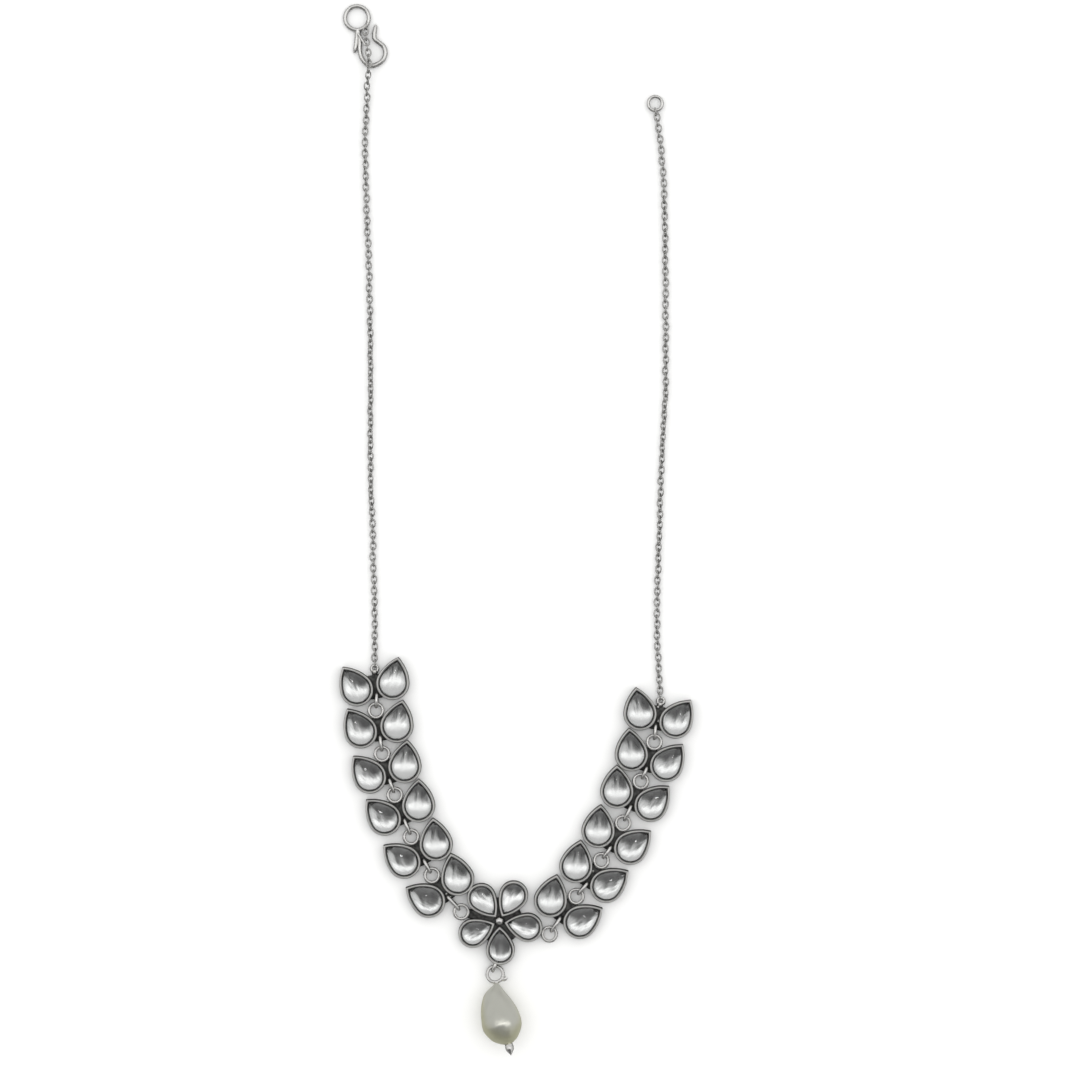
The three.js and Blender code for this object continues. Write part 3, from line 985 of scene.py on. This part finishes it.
@dataclass
class LinkRow:
    """One row of cast links, numbered from the chain down to the flower."""

    finishes: Finishes
    side: Side
    # Middle of each link's pair of stones, and how far its head leans right
    places: tuple[Point, ...]
    # Middle of the small ring that takes the chain
    end_ring: Spot
    # Slopes of the foil behind the outer and inner stones, on the first and last link
    foil_lean: dict[str, Spot]
    # Grains of solder on a few links
    granules: dict[int, Outline] = field(default_factory=dict)
    granule_radius: float = 0.3
    granule_top: float = 1.3
    spacing: float = 7.25
    splay: float = 22.0
    ring_offset: float = 3.7
    small_ring_middle: float = 0.66
    small_ring_wire: float = 0.28
    small_ring_bar: float = 1.1
    solder_radius: float = 0.52
    eye_bend: float = 0.62
    eye_root: float = -2.15
    web: Outline = (
        (-1.9, -2.2), (-1.0, -2.45), (1.0, -2.45), (1.9, -2.2),
        (1.9, 1.9), (1.0, 2.3), (-1.0, 2.3), (-1.9, 1.9),
    )
    web_edge: Outline = ((0.0, 0.61), (0.1, 0.78), (0.15, WEB_HEIGHT))

    def build(self, cup: Object, stone: Object) -> None:
        """Build every link of the row with its two stones.

        Args:
            cup: The cup modelled once.
            stone: The stone modelled once.
        """
        count = len(self.places)
        leans = {name: np.linspace(*ends, count) for name, ends in self.foil_lean.items()}
        for number in range(1, count + 1):
            self._build_setting(number, cup)
            for name, x, degrees in self._pears():
                node = f"{self.side.value}_stone_{number}_{name}"
                set_stone(stone, self._here(number) @ turn(degrees, x), leans[name][number - 1], node)

    def _here(self, number: int) -> Matrix:
        """Transform from a link's own frame to the necklace's."""
        x, y, lean = self.places[number - 1]
        return turn(-lean, x, y)

    def _pears(self) -> list[tuple[str, float, float]]:
        """Name, place and turn of a link's two stones."""
        names = ("outer", "inner") if self.side is Side.LEFT else ("inner", "outer")
        return [(names[0], -self.spacing / 2, self.splay), (names[1], self.spacing / 2, -self.splay)]

    def _build_setting(self, number: int, cup: Object) -> None:
        """Cast one link: two cups on a web, a ring at its head and an eye below.

        Args:
            number: The link's number.
            cup: The cup modelled once.
        """
        here = self._here(number)
        cast = [copy_to(cup, here @ turn(degrees, x)) for _, x, degrees in self._pears()]
        cast.append(raise_plate(self.web, self.web_edge, here))
        wires = [self._build_eye(number)]
        for x, y in self.granules.get(number, ()):
            spot = here @ Vector((x, y, 0.0))
            wires.append(make_bead(spot.x, spot.y, self.granule_radius, self.granule_top))
        if number == 1:
            small_ring = (*self.end_ring, CHAIN_LEVEL)
            wires.append(make_ring(small_ring, self.small_ring_middle, self.small_ring_wire))
            cast.append(self._build_bar())
            wires.append(self._build_solder())
        else:
            ring = here @ Vector((0.0, self.ring_offset, WIRE_LEVEL))
            wires.append(make_ring(tuple(ring), RING_MIDDLE, RING_WIRE))
        node = f"{self.side.value}_link_{number}"
        settle(solder(cast, wires, self.finishes), f"{node}_cast", Slot.OXIDISED_SILVER, node)

    def _build_bar(self) -> Object:
        """Raise the short bar from the first link's web to its small ring.

        Returns:
            The bar.
        """
        here = self._here(1)
        reach = here.inverted() @ Vector((*self.end_ring, 0.0))
        angle = math.degrees(math.atan2(reach.y, reach.x))
        outline = bar(reach.length - self.small_ring_middle, self.small_ring_bar)
        return raise_plate(outline, BAR_EDGE, here @ turn(angle))

    def _build_solder(self) -> Object:
        """Set the drop of solder that holds the small ring.

        Returns:
            The drop.
        """
        ring = Vector((*self.end_ring, 0.0))
        spot = ring + (self._here(1).translation - ring).normalized() * self.small_ring_middle
        return make_bead(spot.x, spot.y, self.solder_radius, self.granule_top)

    def _build_eye(self, number: int) -> Object:
        """Bend the eye that hooks into the next ring.

        Args:
            number: The link's number.

        Returns:
            The eye.
        """
        root = self._here(number) @ Vector((0.0, self.eye_root, 0.0))
        ring = Vector((*FLOWER_RINGS[self.side], 0.0))
        if number < len(self.places):
            ring = self._here(number + 1) @ Vector((0.0, self.ring_offset, 0.0))
        near = ring + (root - ring).normalized() * RING_MIDDLE
        return make_eye(root, near, self.eye_bend)


@dataclass(frozen=True)
class Petal:
    """One petal: its name, its angle clockwise from the chains' side, and the slope of its foil."""

    name: str
    angle: float
    foil_lean: float


@dataclass
class Flower:
    """Five stone petals round a bead, with a ring at each side and an eye below."""

    finishes: Finishes
    petals: tuple[Petal, ...] = (
        Petal("upper_left", -38.0, -0.06),
        Petal("upper_right", 29.0, -0.05),
        Petal("right", 103.0, 0.03),
        Petal("bottom", 178.0, 0.09),
        Petal("left", -115.0, 0.04),
    )
    eye_petal: str = "bottom"
    petal_offset: float = 5.85
    web_radius: float = 4.6
    web_sides: int = 48
    web_edge: Outline = ((0.0, 0.71), (0.15, WEB_HEIGHT))
    bead_radius: float = 0.95
    bead_top: float = 2.0
    tongue_width: float = 1.8
    eye_root: float = 2.9
    eye_bend: float = 0.66

    def build(self) -> None:
        """Build the setting and its stones."""
        cup = PETAL_STONE.build_cup()
        stone = PETAL_STONE.build_stone(self.finishes)
        cast = [copy_to(cup, self._place(petal)) for petal in self.petals]
        cast.append(raise_plate(circle(self.web_radius, self.web_sides), self.web_edge, Matrix()))
        cast.append(self._build_tongue())
        wires = [make_ring((*spot, WIRE_LEVEL), RING_MIDDLE, RING_WIRE) for spot in FLOWER_RINGS.values()]
        wires.append(make_bead(0.0, 0.0, self.bead_radius, self.bead_top))
        wires.append(self._build_eye())
        settle(solder(cast, wires, self.finishes), "flower_cast", Slot.OXIDISED_SILVER, "flower_setting")
        for petal in self.petals:
            set_stone(stone, self._place(petal), petal.foil_lean, f"petal_stone_{petal.name}")
        discard(cup, stone)

    def _place(self, petal: Petal) -> Matrix:
        """Transform from a stone's frame to its petal, tip to the flower's centre."""
        return turn(-petal.angle) @ turn(180.0, y=self.petal_offset)

    def _build_tongue(self) -> Object:
        """Raise the bar from the web to the left ring.

        Returns:
            The bar.
        """
        centre = Vector(FLOWER_RINGS[Side.LEFT])
        angle = math.degrees(math.atan2(centre.y, centre.x))
        return raise_plate(bar(centre.length - RING_MIDDLE, self.tongue_width), BAR_EDGE, turn(angle))

    def _build_eye(self) -> Object:
        """Bend the eye that holds the drop.

        Returns:
            The eye.
        """
        angle = next(petal.angle for petal in self.petals if petal.name == self.eye_petal)
        middle = turn(-angle) @ Vector((0.0, self.petal_offset, 0.0))
        hang = Vector((*HANG_POINT, 0.0))
        root = middle + (hang - middle).normalized() * self.eye_root
        return make_eye(root, hang, self.eye_bend)


@dataclass
class PearlDrop:
    """Drop pearl on a pin that ends in a pointed cap, hung from the flower's eye."""

    finishes: Finishes
    lean: float = 11.7
    pitch: float = -15.6
    # Distance along the pin, radius and sideways shift of each section of the pearl
    sections: tuple[Point, ...] = (
        (3.15, 0.42, -0.1), (3.65, 0.85, -0.35), (4.3, 1.5, -0.68), (5.3, 2.25, -0.9), (7.3, 3.2, -0.8),
        (9.5, 3.78, -0.65), (12.0, 3.87, -0.6), (14.1, 2.75, -0.5), (15.1, 1.5, -0.3), (15.4, 0.8, -0.2),
    )
    section_steps: int = 5
    sides: int = 56
    hollow: Spot = (0.06, 4.0)
    # The same for the cap, which isn't shifted
    cap: tuple[Point, ...] = (
        (15.3, 0.62, 0.0), (15.5, 0.76, 0.0), (15.8, 0.82, 0.0),
        (16.4, 0.84, 0.0), (16.75, 0.74, 0.0), (17.7, 0.08, 0.0),
    )
    cap_sides: int = 24
    ring_middle: float = 1.6
    ring_rise: float = 0.3
    wire: float = 0.32
    tail: tuple[Point, ...] = ((1.0, -2.5, 0.0), (1.65, -2.65, 0.0), (2.15, -2.35, 0.0))
    tail_taper: Point = (1.0, 1.15, 1.0)

    def build(self) -> None:
        """Build the pearl and its pin."""
        tilt = Matrix.Rotation(math.radians(self.pitch), 4, "X")
        place = turn(self.lean, *HANG_POINT, WIRE_LEVEL) @ tilt
        # Lays what is raised along +Z down along -Y
        down = Matrix.Rotation(math.radians(90), 4, "X")
        pearl = raise_round(smooth_path(self.sections, self.section_steps), self.sides)
        pearl.data.transform(place @ down)
        roughen(pearl, *self.hollow)
        dress(pearl, self.finishes.pearl)
        smooth(pearl, ROUND_CREASE)
        settle(pearl, "pearl_drop", Slot.PEARL, "pearl")
        cap = raise_round(self.cap, self.cap_sides)
        cap.data.transform(down)
        pin = join([*self._bend_pin(), cap])
        pin.data.transform(place)
        dress(pin, self.finishes.wire)
        smooth(pin, CAST_CREASE)
        settle(pin, "pearl_pin_wire", Slot.BRIGHT_SILVER, "pearl_pin")

    def _bend_pin(self) -> list[Object]:
        """Form the wire of the pin.

        Returns:
            The ring, the shank and the cut tail.
        """
        ring = make_ring((0.0, self.ring_rise - self.ring_middle, 0.0), self.ring_middle, self.wire)
        below = 2 * self.ring_middle - self.ring_rise
        shank = bend_wire([(0.0, -below, 0.0), (0.0, -self.cap[0][0] - self.wire, 0.0)], self.wire)
        tail = bend_wire(self.tail, self.wire, taper=self.tail_taper)
        return [ring, shank, tail]


@dataclass
class Clasp:
    """S-hook with a closed eye on one chain, and the round ring on the other."""

    finishes: Finishes
    eye: Point = (-28.45, 180.2, 0.44)
    eye_middle: float = 2.38
    eye_wire: float = 0.38
    wire: float = 0.42
    # Wires, from the middle of the eye: the hook, its cut tail and the link to the chain
    bend: Outline = (
        (0.2, -2.4), (0.6, -4.4), (0.6, -6.6), (1.3, -8.5), (2.7, -9.5), (4.3, -9.1), (5.5, -7.8),
        (5.5, -6.0), (4.5, -4.95), (3.6, -4.2), (3.45, -3.3), (3.62, -2.2), (3.73, -1.55), (3.76, -1.32),
    )
    bend_taper: tuple[float, ...] = (1.0,) * 10 + (0.98, 0.92, 0.74, 0.4)
    tail: Outline = ((0.1, -2.4), (-0.05, -4.2), (-0.38, -6.3), (-0.52, -6.95))
    tail_taper: tuple[float, ...] = (1.0, 1.0, 0.85, 0.45)
    jump_wire: float = 0.24
    jump: tuple[Point, ...] = ((0.2, -3.1, 1.0), (1.0, -4.4, 1.05), (1.75, -5.6, 1.2))
    end_ring: Point = (31.1, 163.1, CHAIN_LEVEL)
    end_ring_middle: float = 1.4
    end_ring_wire: float = 0.3

    def build(self) -> None:
        """Build the hook and the ring that it takes."""
        x, y, z = self.eye
        eye = make_ring(self.eye, self.eye_middle, self.eye_wire)
        bend = bend_wire([(x + a, y + b, z) for a, b in self.bend], self.wire, taper=self.bend_taper)
        tail = bend_wire([(x + a, y + b, z) for a, b in self.tail], self.wire, taper=self.tail_taper)
        jump = bend_wire([(x + a, y + b, c) for a, b, c in self.jump], self.jump_wire)
        hook = join([eye, bend, tail, jump])
        ring = make_ring(self.end_ring, self.end_ring_middle, self.end_ring_wire)
        for piece, node in ((hook, "s_hook"), (ring, "end_ring")):
            dress(piece, self.finishes.wire)
            smooth(piece, WIRE_CREASE)
            settle(piece, f"{node}_wire", Slot.BRIGHT_SILVER, node)


@dataclass
class CableChain:
    """Fine cable chain of oval links, laid along a route."""

    finishes: Finishes
    side: Side
    # The route on the table, and a start of it that is lifted off
    laid: Outline
    seed: int
    lifted: tuple[Point, ...] = ()
    pitch: float = 1.12
    width: float = 1.36
    wire: float = 0.2
    thickness: float = 0.13
    segments: tuple[int, int] = (12, 6)
    roll_play: float = 10.0
    sway: float = 0.1
    route_steps: int = 40
    # Distance to either side over which a link's direction is taken
    feel: float = 0.2

    def build(self) -> None:
        """Lay copies of one link along the route and join them into a chain."""
        link = self._model_link()
        spots = self._spots()
        play = random.Random(self.seed)
        twist = np.cumsum([play.uniform(-self.roll_play, self.roll_play) for _ in spots])
        twist -= np.linspace(twist[0], twist[-1], len(spots))
        links = []
        for number, (spot, direction) in enumerate(spots):
            roll = math.radians(twist[number] + 90.0 * ((number + 1) % 2))
            sway = Vector((play.uniform(-self.sway, self.sway), 0.0, 0.0))
            along = Vector(direction)
            across = Vector((0.0, 0.0, 1.0)).cross(along).normalized()
            wide = math.cos(roll) * across + math.sin(roll) * along.cross(across)
            axes = Matrix((along, wide, along.cross(wide))).transposed().to_4x4()
            links.append(copy_to(link, Matrix.Translation(Vector(spot) + sway) @ axes))
        discard(link)
        chain = join(links)
        dress(chain, self.finishes.chain)
        smooth(chain, ROUND_CREASE)
        node = f"chain_{self.side.value}"
        settle(chain, f"{node}_links", Slot.BRIGHT_SILVER, node)

    def _model_link(self) -> Object:
        """Close a ring of wire, then draw it oval and roll it flat.

        Returns:
            The link, along X.
        """
        middle = self.pitch / 2 + self.wire
        link = make_ring((0.0, 0.0, 0.0), middle, self.wire, self.segments)
        bpy.ops.object.mode_set(mode="EDIT")
        bpy.ops.mesh.select_all(action="SELECT")
        narrow = self.width / 2 / (middle + self.wire)
        bpy.ops.transform.resize(value=(1.0, narrow, self.thickness / self.wire))
        bpy.ops.object.mode_set(mode="OBJECT")
        return link

    def _spots(self) -> list[tuple[np.ndarray, np.ndarray]]:
        """Share the route out between an odd number of links, so that one stands on edge at each end.

        Returns:
            Middle and direction of each link.
        """
        route = [*self.lifted, *((x, y, CHAIN_LEVEL) for x, y in self.laid)]
        path = smooth_path(route, self.route_steps)
        steps = np.linalg.norm(np.diff(path, axis=0), axis=1)
        length = np.concatenate([[0.0], np.cumsum(steps)])
        count = 2 * round(length[-1] / self.pitch / 2) + 1
        marks = (np.arange(count) + 0.5) * length[-1] / count
        behind, spot, ahead = (
            np.stack([np.interp(marks + step, length, axis) for axis in path.T], axis=1)
            for step in (-self.feel, 0.0, self.feel)
        )
        along = ahead - behind
        along /= np.linalg.norm(along, axis=1)[:, None]
        return list(zip(spot, along))


@dataclass(frozen=True)
class Card:
    """Bright card that only a few pieces throw back, facing the origin, in millimetres."""

    ending: str
    radiance: float
    place: Point
    size: Spot

    def hang(self) -> None:
        """Hang the card for the pieces whose names have its ending."""
        spot = Vector(self.place) * MM
        lean = (-math.atan2(spot.y, spot.z), math.atan2(spot.x, spot.z), 0.0)
        bpy.ops.object.light_add(type="AREA", location=spot, rotation=lean)
        card = bpy.context.object
        card.data.shape = "RECTANGLE"
        card.data.size = self.size[0] * MM
        card.data.size_y = self.size[1] * MM
        card.data.energy = self.radiance * math.pi * card.data.size * card.data.size_y
        card.visible_camera = False
        card.visible_diffuse = False
        card.visible_transmission = False
        lit = bpy.data.collections.new(f"lit by {card.name}")
        for piece in bpy.context.scene.objects:
            if piece.name.endswith(self.ending):
                lit.objects.link(piece)
        card.light_linking.receiver_collection = lit


@dataclass
class Studio:
    """White table under a bright sky, with a dark gap below, and a camera straight above."""

    finishes: Finishes
    # The camera and the table, in millimetres
    view_centre: Spot = (8.1, 75.88)
    view_width: float = 215.75
    view_level: float = 0.7
    camera_height: float = 700.0
    camera_near: float = 10.0
    sensor: float = 36.0
    table_size: float = 8000.0
    table_drop: float = 0.05
    backdrop: str = "#F4F4F3"
    # The sky and its brighter field: strengths, and directions between which the field comes and goes
    sky: float = 0.8
    key: float = 1.9
    key_rise: Spot = (-0.14, 0.02)
    key_fall: Spot = (0.34, 0.03)
    key_sides: Spot = (0.8, 0.35)
    # The dark wedge: strengths, shape, ragged edge and the streaks in it
    dark_near: float = 0.0
    dark_far: float = 0.34
    dark_between: Spot = (-0.9, -1.6)
    dark_tip: float = -0.04
    dark_spread: float = 1.5
    dark_lean: float = 0.6
    dark_blur: float = 0.3
    fingers: float = 0.8
    finger_scale: Point = (5.0, 1.2, 1.2)
    streak_scale: float = 2.2
    streak_depth: float = 1.2
    # The lamps: one wide and soft, one for the domes and one for the pearl
    overhead: float = 2.2
    overhead_angle: float = 170.0
    cards: tuple[Card, ...] = (
        Card("_glass", 16.0, (20.0, 300.0, 480.0), (36.0, 100.0)),
        Card("pearl_drop", 2.2, (190.0, 85.0, 900.0), (1300.0, 240.0)),
    )

    def build(self) -> None:
        """Lay the table, light it and set up the camera."""
        self._lay_table()
        self._light()
        self._hang_lamps()
        self._set_camera()
        bpy.context.scene.view_settings.view_transform = "Standard"

    def _lay_table(self) -> None:
        """Lay a wide white table just under the necklace."""
        deselect()
        place = (0.0, 0.0, -self.table_drop * MM)
        bpy.ops.mesh.primitive_plane_add(size=self.table_size * MM, location=place)
        table = bpy.context.object
        table.name = "table"
        dress(table, self.finishes.floor)

    def _light(self) -> None:
        """Paint the surroundings: bright above, one brighter field, and a dark wedge towards the wearer."""
        world = bpy.data.worlds.new("studio")
        bpy.context.scene.world = world
        world.use_nodes = True
        tree = world.node_tree
        tree.nodes.remove(tree.nodes["Background"])
        add = partial(add_node, tree)
        way = add("TexCoord", out="Generated")
        axes = add("SeparateXYZ", links={"Vector": way}).node.outputs
        x = axes["X"]
        y = axes["Y"]
        # The sky and its field, which ends above, below and at both sides
        aside = add("Math", links={0: x}, operation="ABSOLUTE")
        ramps = ((y, self.key_rise), (y, self.key_fall), (aside, self.key_sides))
        rise, fall, sides = (
            add("MapRange", {"From Min": start, "From Max": end}, {"Value": source}, **SOFT)
            for source, (start, end) in ramps
        )
        band = add("Math", links={0: rise, 1: fall}, operation="MULTIPLY")
        share = add("Math", links={0: band, 1: sides}, operation="MULTIPLY")
        bright = add("MapRange", {"To Min": self.sky, "To Max": self.key}, {"Value": share})
        # The dark wedge, which leans to one side and has a ragged edge
        narrow = add("Mapping", {"Scale": self.finger_scale}, {"Vector": way})
        noise = add("TexNoise", {"Scale": 1.0, "Detail": 0.5}, {"Vector": narrow})
        edge = add("MapRange", {"To Min": -self.fingers, "To Max": self.fingers}, {"Value": noise})
        spread = {1: -self.dark_spread, 2: self.dark_spread * self.dark_tip}
        reach = add("Math", spread, {0: y}, operation="MULTIPLY_ADD")
        left = add("Math", {1: -self.dark_lean}, {0: x}, operation="MULTIPLY")
        leaning = add("Math", links={0: x, 1: left}, operation="MAXIMUM")
        inside = add("Math", links={0: reach, 1: leaning}, operation="SUBTRACT")
        ragged = add("Math", links={0: inside, 1: edge}, operation="ADD")
        blur = {"From Min": -self.dark_blur, "From Max": self.dark_blur}
        gap = add("MapRange", blur, {"Value": ragged}, **SOFT)
        # Its own strength, lighter in streaks away from its tip
        streak = add("TexNoise", {"Scale": self.streak_scale, "Detail": 0.5}, {"Vector": narrow})
        depth = add("Math", {1: self.streak_depth}, {0: streak}, operation="MULTIPLY")
        lifted = add("Math", links={0: y, 1: depth}, operation="SUBTRACT")
        start, end = self.dark_between
        fade = {"From Min": start, "From Max": end, "To Min": self.dark_near, "To Max": self.dark_far}
        dark = add("MapRange", fade, {"Value": lifted})
        strength = add("Mix", links={SHARE: gap, NUMBER_A: bright, NUMBER_B: dark}, data_type="FLOAT")
        # The camera itself sees a plain backdrop
        light = add("Background", links={"Strength": strength})
        plain = add("Background", {"Color": linear(self.backdrop)})
        seen = add("LightPath", out="Is Camera Ray")
        both = add("MixShader", links={0: seen, 1: light, 2: plain})
        feed(tree.nodes["World Output"], {}, {"Surface": both})

    def _hang_lamps(self) -> None:
        """Hang a wide soft lamp overhead, and the cards."""
        bpy.ops.object.light_add(type="SUN", location=(0.0, 0.0, 1.0))
        wide = bpy.context.object
        wide.data.energy = self.overhead
        wide.data.angle = math.radians(self.overhead_angle)
        wide.visible_glossy = False
        wide.visible_transmission = False
        for card in self.cards:
            card.hang()

    def _set_camera(self) -> None:
        """Look straight down on the necklace, with the clasp at the top."""
        x, y = self.view_centre
        bpy.ops.object.camera_add(location=(x * MM, y * MM, self.camera_height * MM))
        camera = bpy.context.object
        camera.data.sensor_width = self.sensor
        camera.data.lens = self.sensor * (self.camera_height - self.view_level) / self.view_width
        camera.data.clip_start = self.camera_near * MM
        bpy.context.scene.camera = camera


def build_rows(finishes: Finishes) -> None:
    """Build both rows of links from one cup and one stone.

    Args:
        finishes: Materials.
    """
    left = LinkRow(
        finishes,
        Side.LEFT,
        (
            (-24.85, 46.75, -10), (-24.05, 38.3, -9), (-22.35, 29.75, -16.5),
            (-19.5, 21.65, -21.5), (-15.8, 13.5, -29), (-11.2, 6.15, -37.5),
        ),
        end_ring=(-24.9, 50.3),
        foil_lean={"outer": (0.01, 0.08), "inner": (-0.04, 0.0)},
        granules={6: ((0.05, -1.0), (0.24, -1.85))},
    )
    right = LinkRow(
        finishes,
        Side.RIGHT,
        (
            (31.6, 40.5, 13), (29.8, 32.1, 17), (26.8, 24.4, 22),
            (22.9, 16.2, 28), (18.3, 8.9, 33), (13.1, 1.9, 36.5),
        ),
        end_ring=(32.2, 43.8),
        foil_lean={"outer": (0.03, 0.04), "inner": (0.0, -0.01)},
        granules={1: ((-0.46, 2.1), (0.23, -0.6)), 5: ((-0.25, 1.0),)},
    )
    cup = LINK_STONE.build_cup()
    stone = LINK_STONE.build_stone(finishes)
    for row in (left, right):
        row.build(cup, stone)
    discard(cup, stone)


def build_chains(finishes: Finishes) -> None:
    """Lay both chains: the left one from the hook, over its bend, and the right one from the end ring.

    Args:
        finishes: Materials.
    """
    left = CableChain(
        finishes,
        Side.LEFT,
        (
            (-26.55, 161.0), (-26.8, 154.0), (-26.4, 139.0), (-26.0, 128.0), (-25.7, 108.0),
            (-25.8, 94.0), (-25.3, 76.0), (-24.9, 62.0), (-24.88, 50.8),
        ),
        seed=3,
        lifted=(
            (-26.55, 179.2, 0.75), (-26.6, 176.4, 0.9), (-26.2, 173.6, 1.5),
            (-26.05, 170.6, 1.68), (-26.3, 167.4, 1.35), (-26.4, 164.4, 0.85),
        ),
    )
    right = CableChain(
        finishes,
        Side.RIGHT,
        (
            (31.2, 162.0), (32.1, 155.0), (32.8, 147.5), (33.1, 135.0), (33.2, 118.0), (33.1, 105.0),
            (32.5, 95.0), (32.0, 81.0), (31.6, 67.0), (31.5, 56.0), (32.1, 44.3),
        ),
        seed=8,
    )
    for chain in (left, right):
        chain.build()


def main() -> None:
    """Build the studio and the necklace, piece by piece."""
    logging.basicConfig(level=logging.INFO, format="%(message)s")
    finishes = Finishes.make()
    build_rows(finishes)
    Flower(finishes).build()
    PearlDrop(finishes).build()
    Clasp(finishes).build()
    build_chains(finishes)
    Studio(finishes).build()


if __name__ == "__main__":
    main()
